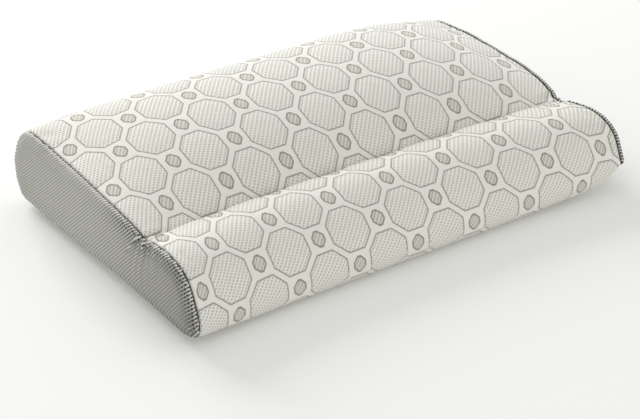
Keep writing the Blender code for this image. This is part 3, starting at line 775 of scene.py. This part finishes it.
inside = {
    "foamDepth": 3.9,
    "sleeveDepth": 2.8,
    "sleeveThick": 0.8,
    "underTape": 1.1,    # how much deeper both lie under the crease tape
    "underTapeSpan": (16, 26),
    "behindZip": 2.7,    # and behind the zip
    "behindZipSpan": (13, 24),
    "endGap": 9.5,
    # the ends' rounding: share of the way to the middle line, and how far out; the last share is the lap
    "endRounding": ((0.06, 3.5), (0.2, 6.0)),
    "endOut": 7.0,
    "foamLap": 0.9,
    "sleeveLap": 0.42,
    "tapeDepth": 2.7,
    "tapeThick": 0.8,
    "tapeHalf": 14.0,
    "tapeShort": 11.0,
    "turnDepth": 2.8,
    "turnThick": 1.0,
    "turnWide": 8.0,
    "turnEnd": 0.5,
    "turnCut": 10.0,     # the allowance as cut, before the overlock trims it
}


def insideRings(depth, xs, step, clear=True):
    # the pillow's own section at each x, drawn in by the depth
    loops, rings = [], []
    for x in xs:
        loop, run = sectionAt(x)
        extra = 0
        if clear:
            zipNear = 1 - softStep(np.hypot(*(loop - form["zipCentre"]).T), *inside["behindZipSpan"])
            tapeNear = 1 - softStep(abs(run), *inside["underTapeSpan"])
            extra = inside["underTape"] * tapeNear + inside["behindZip"] * zipNear
        loops.append(inward(loop, depth + seamTuck(x) + extra)[::step])
        rings.append(run[::step])
    return surfaceFrom(np.array(loops), xs, np.array(rings))


def drawnIn(ring, share, ahead):
    # a ring of points moved towards the middle line of the end, and ahead along X
    low, high = panel["spine"]
    spineY = np.clip(ring[:, 1], low[0], high[0])
    spineZ = low[1] + (spineY - low[0]) * (high[1] - low[1]) / (high[0] - low[0])
    moved = ring * (1 - share) + np.column_stack([ring[:, 0], spineY, spineZ]) * share
    moved[:, 0] = ring[:, 0] + ahead
    return moved


def loafMesh(name, depth, step, lap, closed):
    # the inside shape with its ends rounded over, and closed if asked
    reach = form["halfLength"] - inside["endGap"]
    rings = insideRings(depth, np.linspace(-reach, reach, 61), step)
    ends = [*inside["endRounding"], (lap, inside["endOut"])]
    before = [drawnIn(rings[0], share, -ahead) for share, ahead in ends[::-1]]
    after = [drawnIn(rings[-1], share, ahead) for share, ahead in ends]
    mesh = shellMesh(name, np.array([*before, *rings, *after]))
    if closed:
        work = bmesh.new()
        work.from_mesh(mesh)
        bmesh.ops.holes_fill(work, edges=work.edges)
        work.to_mesh(mesh)
        work.free()
    mesh.shade_smooth()
    return mesh


# moulded viscoelastic foam: cream, matt, fine open pores
foamSkin, tree, bsdf = newMaterial("viscoelastic_foam_moulded", {"Roughness": 0.95, "IOR": 1.4})
cloud = addNode(tree, "ShaderNodeTexCoord").outputs["Object"]
pores = addNode(tree, "ShaderNodeTexVoronoi", None, {"Vector": cloud, "Scale": 700.0})
tone = addNode(tree, "ShaderNodeMapRange", None, {"Value": pores.outputs["Distance"], "From Max": 0.5})
colour = addNode(tree, "ShaderNodeMix", {"data_type": "RGBA"},
                 {0: tone.outputs[0], 6: linear("#d8cfae"), 7: linear("#efe8cf")})
tree.links.new(colour.outputs[2], bsdf.inputs["Base Color"])
bump = addNode(tree, "ShaderNodeBump", None, {"Height": pores.outputs["Distance"], "Distance": 0.0004})
tree.links.new(bump.outputs["Normal"], bsdf.inputs["Normal"])

foamMesh = loafMesh("foam_block", inside["foamDepth"], 2, inside["foamLap"], True)
foamBlock = addPiece("foam_block", foamMesh, foamSkin)
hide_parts("foam_core")
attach(foamBlock, "pillow")
print("foam ready")

# narrow cloths: ridge spacing in mm, ridge direction, light and dark tones, roughness
clothKinds = {
    # single jersey: fine wales
    "stockinette_cotton": (1.6, (0, 1, 0.4), "#e2dfd4", "#c2beb0", 0.9),
    # woven on the diagonal
    "twill_tape_cotton": (1.4, (0.7, 0.7, 0), "#d4d1c5", "#a9a596", 0.85),
    # woven across, slightly shiny
    "zip_tape_polyester": (1.1, (1, 0, 0), "#deddd5", "#b4b2a7", 0.75),
    # the cover's own edge, turned in
    "jersey_seam_turn": (1.3, (0, 0.5, 0.9), "#d9d7cd", "#b3b0a3", 0.88),
}
cloths = {}
for name, (spacing, way, light, dark, roughness) in clothKinds.items():
    cloth, tree, bsdf = newMaterial(name, {"Roughness": roughness, "IOR": 1.5, "Sheen Weight": 0.2})
    cloud = addNode(tree, "ShaderNodeTexCoord").outputs["Object"]
    phase = addNode(tree, "ShaderNodeVectorMath", {"operation": "DOT_PRODUCT"},
                    {0: cloud, 1: [part * 2 * np.pi / (spacing * mm) for part in way]})
    ridge = addNode(tree, "ShaderNodeMath", {"operation": "SINE"}, {0: phase.outputs["Value"]})
    fuzz = addNode(tree, "ShaderNodeTexNoise", None, {"Vector": cloud, "Scale": 1200.0})
    woven = addNode(tree, "ShaderNodeMath", {"operation": "ADD"},
                    {0: ridge.outputs[0], 1: fuzz.outputs["Fac"]})
    tone = addNode(tree, "ShaderNodeMapRange", None, {"Value": woven.outputs[0], "From Min": -0.6,
                                                      "From Max": 1.4})
    colour = addNode(tree, "ShaderNodeMix", {"data_type": "RGBA"},
                     {0: tone.outputs[0], 6: linear(dark), 7: linear(light)})
    tree.links.new(colour.outputs[2], bsdf.inputs["Base Color"])
    bump = addNode(tree, "ShaderNodeBump", None, {"Height": woven.outputs[0], "Distance": 0.00015})
    tree.links.new(bump.outputs["Normal"], bsdf.inputs["Normal"])
    cloths[name] = cloth


def clothPiece(name, mesh, cloth, thick, node):
    piece = addPiece(name, mesh, cloths[cloth])
    giveWall(piece, thick)
    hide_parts(node)
    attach(piece, "pillow")
    return piece


clothPiece("foam_sleeve",
           loafMesh("foam_sleeve", inside["sleeveDepth"], 2, inside["sleeveLap"], False),
           "stockinette_cotton", inside["sleeveThick"], "core_sleeve")
tapeReach = form["halfLength"] - inside["tapeShort"]
tapeXs = np.linspace(-tapeReach, tapeReach, 80)
tapeRings = insideRings(inside["tapeDepth"], tapeXs, 1, False)
tapeRows = [r for r in range(rowCount) if abs(runs[len(columns) // 2][r]) <= inside["tapeHalf"]]
tapeGrid = tapeRings[:, tapeRows[0]:tapeRows[-1] + 1]
tapeMesh = shellMesh("crease_binding", tapeGrid, None, lambda c, r: r < tapeGrid.shape[1] - 1)
clothPiece("crease_binding", tapeMesh, "twill_tape_cotton", inside["tapeThick"], "crease_tape")
for name, side in (("left", -1), ("right", 1)):
    far = form["halfLength"] - inside["turnEnd"]
    turnXs = side * np.linspace(far - inside["turnWide"], far, 5)
    turnRings = insideRings(inside["turnDepth"], turnXs if side > 0 else turnXs[::-1], 2, False)
    clothPiece("seam_turn_" + name, shellMesh("seam_turn_" + name, turnRings), "jersey_seam_turn",
               inside["turnThick"], "seam_binding_" + name)
print("sleeve, crease tape and seam turns ready")


# The zip

zipper = {
    "tapeTop": -2.7,
    "tapeThick": 0.6,
    "selvedge": 0.12,    # its edges stand this much thicker
    "tapeEdge": 9.5,
    "tapeReach": 247.5,
    "tapeCut": 10.0,
    "coilFrom": 0.62,
    "coilTo": 3.2,
    "coilHigh": 2.0,
    "coilReach": 240.5,
    "coilPitch": 1.3,
    "coilWire": 0.55,
    "coilSlant": 14.0,
    "tackLength": 7.2,
    "hemLine": 8.4,
}


def zipPoint(x, along, out):
    flat = np.array(form["zipCentre"]) + zipAlong * along + zipOut * out
    return [x, flat[0], flat[1]]


for name, side in (("upper", 1), ("lower", -1)):
    across = side * np.array([0.8, 1.2, 3.4, 5.0, 6.6, 8.2, 9.2, zipper["tapeEdge"]])
    bead = np.array([0.0, -0.05, -0.12, -0.12, -0.12, -0.12, -0.05, 0.0])
    tapeXs = np.linspace(-zipper["tapeReach"], zipper["tapeReach"], 100)
    grid = np.array([[zipPoint(x, a, zipper["tapeTop"] + b) for a, b in zip(across, bead)]
                     for x in tapeXs])
    if side < 0:
        grid = grid[:, ::-1]
    mesh = shellMesh("zip_weave_" + name, grid, None, lambda c, r: r < len(across) - 1)
    clothPiece("zip_weave_" + name, mesh, "zip_tape_polyester", zipper["tapeThick"] - zipper["selvedge"],
               "zip_tape_" + name)

# nylon monofilament, extruded: smooth, a soft gloss, milky
coilNylon, tree, bsdf = newMaterial("nylon_monofilament", {"Roughness": 0.34, "IOR": 1.53})
tree.links.new(mottled(tree, 260.0, "#dcdad2", "#efeee8")[2], bsdf.inputs["Base Color"])
# spun polyester sewing thread: matt, a fine twist
sewingThread, tree, bsdf = newMaterial("spun_polyester_thread", {
    "Roughness": 0.8, "IOR": 1.5, "Sheen Weight": 0.3})
cloud, twist, colour = mottled(tree, 2200.0, "#bfbcb0", "#e4e2d8")
tree.links.new(colour, bsdf.inputs["Base Color"])
bump = addNode(tree, "ShaderNodeBump", None, {"Height": twist, "Distance": 0.0001})
tree.links.new(bump.outputs["Normal"], bsdf.inputs["Normal"])

# one turn of the coil at every pitch along the path: a loop round the zip's length, a little aslant
coilTree, given = newGrowth("coil", [("Pitch", "Float", 0.0013), ("Width", "Float", 0.0024),
                                     ("Height", "Float", 0.002), ("Wire", "Float", 0.00055),
                                     ("Slant", "Float", 0.2), ("Nylon", "Material", None)])
path = addNode(coilTree, "GeometryNodeMeshToCurve", None, {"Mesh": given["Geometry"]})
spots = addNode(coilTree, "GeometryNodeResampleCurve", {"mode": "LENGTH"},
                {"Curve": path.outputs[0], "Length": given["Pitch"]})
loopSize = addNode(coilTree, "ShaderNodeCombineXYZ", None,
                   {"X": given["Width"], "Y": given["Height"], "Z": 1.0})
loop = addNode(coilTree, "GeometryNodeCurvePrimitiveCircle", {"mode": "RADIUS"},
               {"Resolution": 9, "Radius": 0.5})
sized = addNode(coilTree, "GeometryNodeTransform", None, {"Geometry": loop.outputs[0],
                                                          "Scale": loopSize.outputs[0]})
halfWire = addNode(coilTree, "ShaderNodeMath", {"operation": "MULTIPLY"}, {0: given["Wire"], 1: 0.5})
wireRound = addNode(coilTree, "GeometryNodeCurvePrimitiveCircle", {"mode": "RADIUS"},
                    {"Resolution": 5, "Radius": halfWire.outputs[0]})
turn = addNode(coilTree, "GeometryNodeCurveToMesh", None, {"Curve": sized.outputs[0],
                                                           "Profile Curve": wireRound.outputs[0]})
lean = addNode(coilTree, "ShaderNodeCombineXYZ", None, {"Y": given["Slant"]})
slanted = addNode(coilTree, "GeometryNodeTransform", None, {"Geometry": turn.outputs[0],
                                                            "Rotation": lean.outputs[0]})
upright = Matrix(((0, 0, -1), (zipAlong[0], zipOut[0], 0), (zipAlong[1], zipOut[1], 0))).to_euler()
stood = addNode(coilTree, "GeometryNodeTransform", None, {"Geometry": slanted.outputs[0],
                                                          "Rotation": upright})
smooth = addNode(coilTree, "GeometryNodeSetShadeSmooth", None, {"Geometry": stood.outputs[0]})
rowOfTurns = addNode(coilTree, "GeometryNodeInstanceOnPoints", None, {"Points": spots.outputs[0],
                                                                      "Instance": smooth.outputs[0]})
endGrowth(coilTree, rowOfTurns.outputs[0], given["Nylon"])


def pathMesh(name, points, way):
    mesh = bpy.data.meshes.new(name)
    edges = [(n, n + 1) for n in range(len(points) - 1)]
    mesh.from_pydata((np.array(points) * mm).tolist(), edges, [])
    ways = mesh.attributes.new("way", "FLOAT_VECTOR", "POINT")
    ways.data.foreach_set("vector", np.array(way, float).ravel())
    return mesh


for name, side in (("upper", 1), ("lower", -1)):
    middleLine = side * (zipper["coilFrom"] + zipper["coilTo"]) / 2
    high = zipper["tapeTop"] + 0.3 + zipper["coilHigh"] / 2
    ends = [zipPoint(x, middleLine, high) for x in (-zipper["coilReach"] + 0.5, zipper["coilReach"] - 0.5)]
    wire = zipper["coilWire"]
    teethPath = pathMesh("zip_teeth_" + name, ends, [(1, 0, 0)] * 2)
    teeth = grown("zip_teeth_" + name, teethPath, coilTree,
                  {"Pitch": zipper["coilPitch"] * mm, "Wire": wire * mm, "Nylon": coilNylon,
                   "Width": (zipper["coilTo"] - zipper["coilFrom"] - wire) * mm,
                   "Height": (zipper["coilHigh"] - wire) * mm,
                   "Slant": side * radians(zipper["coilSlant"])})
    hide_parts("zip_coil_" + name)
    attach(teeth, "pillow")
    print("zip teeth", name, len(teeth.data.polygons), "faces")

# stitches: a short plump thread at every step along a path, laid the way the path says
stitchTree, given = newGrowth("stitches", [("Step", "Float", 0.003), ("Length", "Float", 0.0025),
                                           ("Thickness", "Float", 0.0004), ("Wobble", "Float", 0.05),
                                           ("Seed", "Int", 7), ("Thread", "Material", None)])
path = addNode(stitchTree, "GeometryNodeMeshToCurve", None, {"Mesh": given["Geometry"]})
spots = addNode(stitchTree, "GeometryNodeResampleCurve", {"mode": "LENGTH"},
                {"Curve": path.outputs[0], "Length": given["Step"]})
plump = addNode(stitchTree, "ShaderNodeCombineXYZ", None,
                {"X": given["Thickness"], "Y": given["Thickness"], "Z": given["Length"]})
bead = addNode(stitchTree, "GeometryNodeMeshUVSphere", None,
               {"Segments": 6, "Rings": 5, "Radius": 0.5})
stitch = addNode(stitchTree, "GeometryNodeTransform", None, {"Geometry": bead.outputs["Mesh"],
                                                             "Scale": plump.outputs[0]})
smooth = addNode(stitchTree, "GeometryNodeSetShadeSmooth", None, {"Geometry": stitch.outputs[0]})
way = addNode(stitchTree, "GeometryNodeInputNamedAttribute", {"data_type": "FLOAT_VECTOR"},
              {"Name": "way"})
facing = addNode(stitchTree, "FunctionNodeAlignRotationToVector", {"axis": "Z"},
                 {"Vector": way.outputs["Attribute"]})
less = addNode(stitchTree, "ShaderNodeMath", {"operation": "MULTIPLY"}, {0: given["Wobble"], 1: -1.0})
chance = addNode(stitchTree, "FunctionNodeRandomValue", {"data_type": "FLOAT_VECTOR"},
                 {"Min": less.outputs[0], "Max": given["Wobble"], "Seed": given["Seed"]})
askew = addNode(stitchTree, "FunctionNodeEulerToRotation", None, {"Euler": chance.outputs[0]})
wayOut = addNode(stitchTree, "FunctionNodeRotateRotation", None, {"Rotation": facing.outputs[0],
                                                                  "Rotate By": askew.outputs[0]})
row = addNode(stitchTree, "GeometryNodeInstanceOnPoints", None,
              {"Points": spots.outputs[0], "Instance": smooth.outputs[0], "Rotation": wayOut.outputs[0]})
endGrowth(stitchTree, row.outputs[0], given["Thread"])

acrossZip = [0, zipAlong[0], zipAlong[1]]
stitching = {}      # path, way, step, length and thickness of the stitches, and the node they stand for
for name, side in (("left", -1), ("right", 1)):
    tack = [zipPoint(side * x, 0, zipper["tapeTop"] + 1.6) for x in (240.9, 243.7)]
    stitching["zip_tack_" + name] = (tack, [acrossZip] * 2, 0.32, zipper["tackLength"], 0.62,
                                     "zip_stop_" + name)
    far = side * (form["halfLength"] - inside["turnWide"] / 2 - inside["turnEnd"])
    ring = insideRings(inside["turnDepth"] - 0.1, [far, far], 2, False)[0]
    stitching["overlock_" + name] = (ring, [(1, 0.25, 0)] * len(ring), 2.6, inside["turnWide"] + 0.4,
                                     0.42, None)
for name, side in (("upper", 1), ("lower", -1)):
    hem = [zipPoint(x, side * zipper["hemLine"], 0.05) for x in (-242, 242)]
    stitching["hem_stitch_" + name] = (hem, [(1, 0, 0)] * 2, 3.0, 2.5, 0.55, None)
for name, (points, ways, step, length, thick, node) in stitching.items():
    seam = grown(name, pathMesh(name, points, ways), stitchTree,
                 {"Step": step * mm, "Length": length * mm, "Thickness": thick * mm, "Wobble": 0.05,
                  "Seed": 7, "Thread": sewingThread})
    if node:
        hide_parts(node)
    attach(seam, "pillow")
print("stitching ready")

# die-cast zinc, tumbled and nickel plated: satin, with faint pits and a slightly uneven polish
metals = {"zip_slider": ("zinc_die_cast_nickel_plated", "#b9b8b4", "#cfcecb", 0.34),
          "zip_pull": ("zinc_stamped_nickel_plated", "#bdbcb8", "#d3d2cf", 0.28)}
for node, (name, dark, light, roughness) in metals.items():
    metal, tree, bsdf = newMaterial(name, {"Metallic": 1.0})
    cloud, wear, colour = mottled(tree, 420.0, dark, light, 3.0)
    tree.links.new(colour, bsdf.inputs["Base Color"])
    dull = addNode(tree, "ShaderNodeMapRange", None,
                   {"Value": wear, "To Min": roughness - 0.06, "To Max": roughness + 0.12})
    tree.links.new(dull.outputs[0], bsdf.inputs["Roughness"])
    bump = addNode(tree, "ShaderNodeBump", None, {"Height": wear, "Distance": 0.00006})
    tree.links.new(bump.outputs["Normal"], bsdf.inputs["Normal"])
    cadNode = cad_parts[node]
    if cadNode.material_slots:
        cadNode.material_slots[0].material = metal
    else:
        cadNode.data.materials.append(metal)
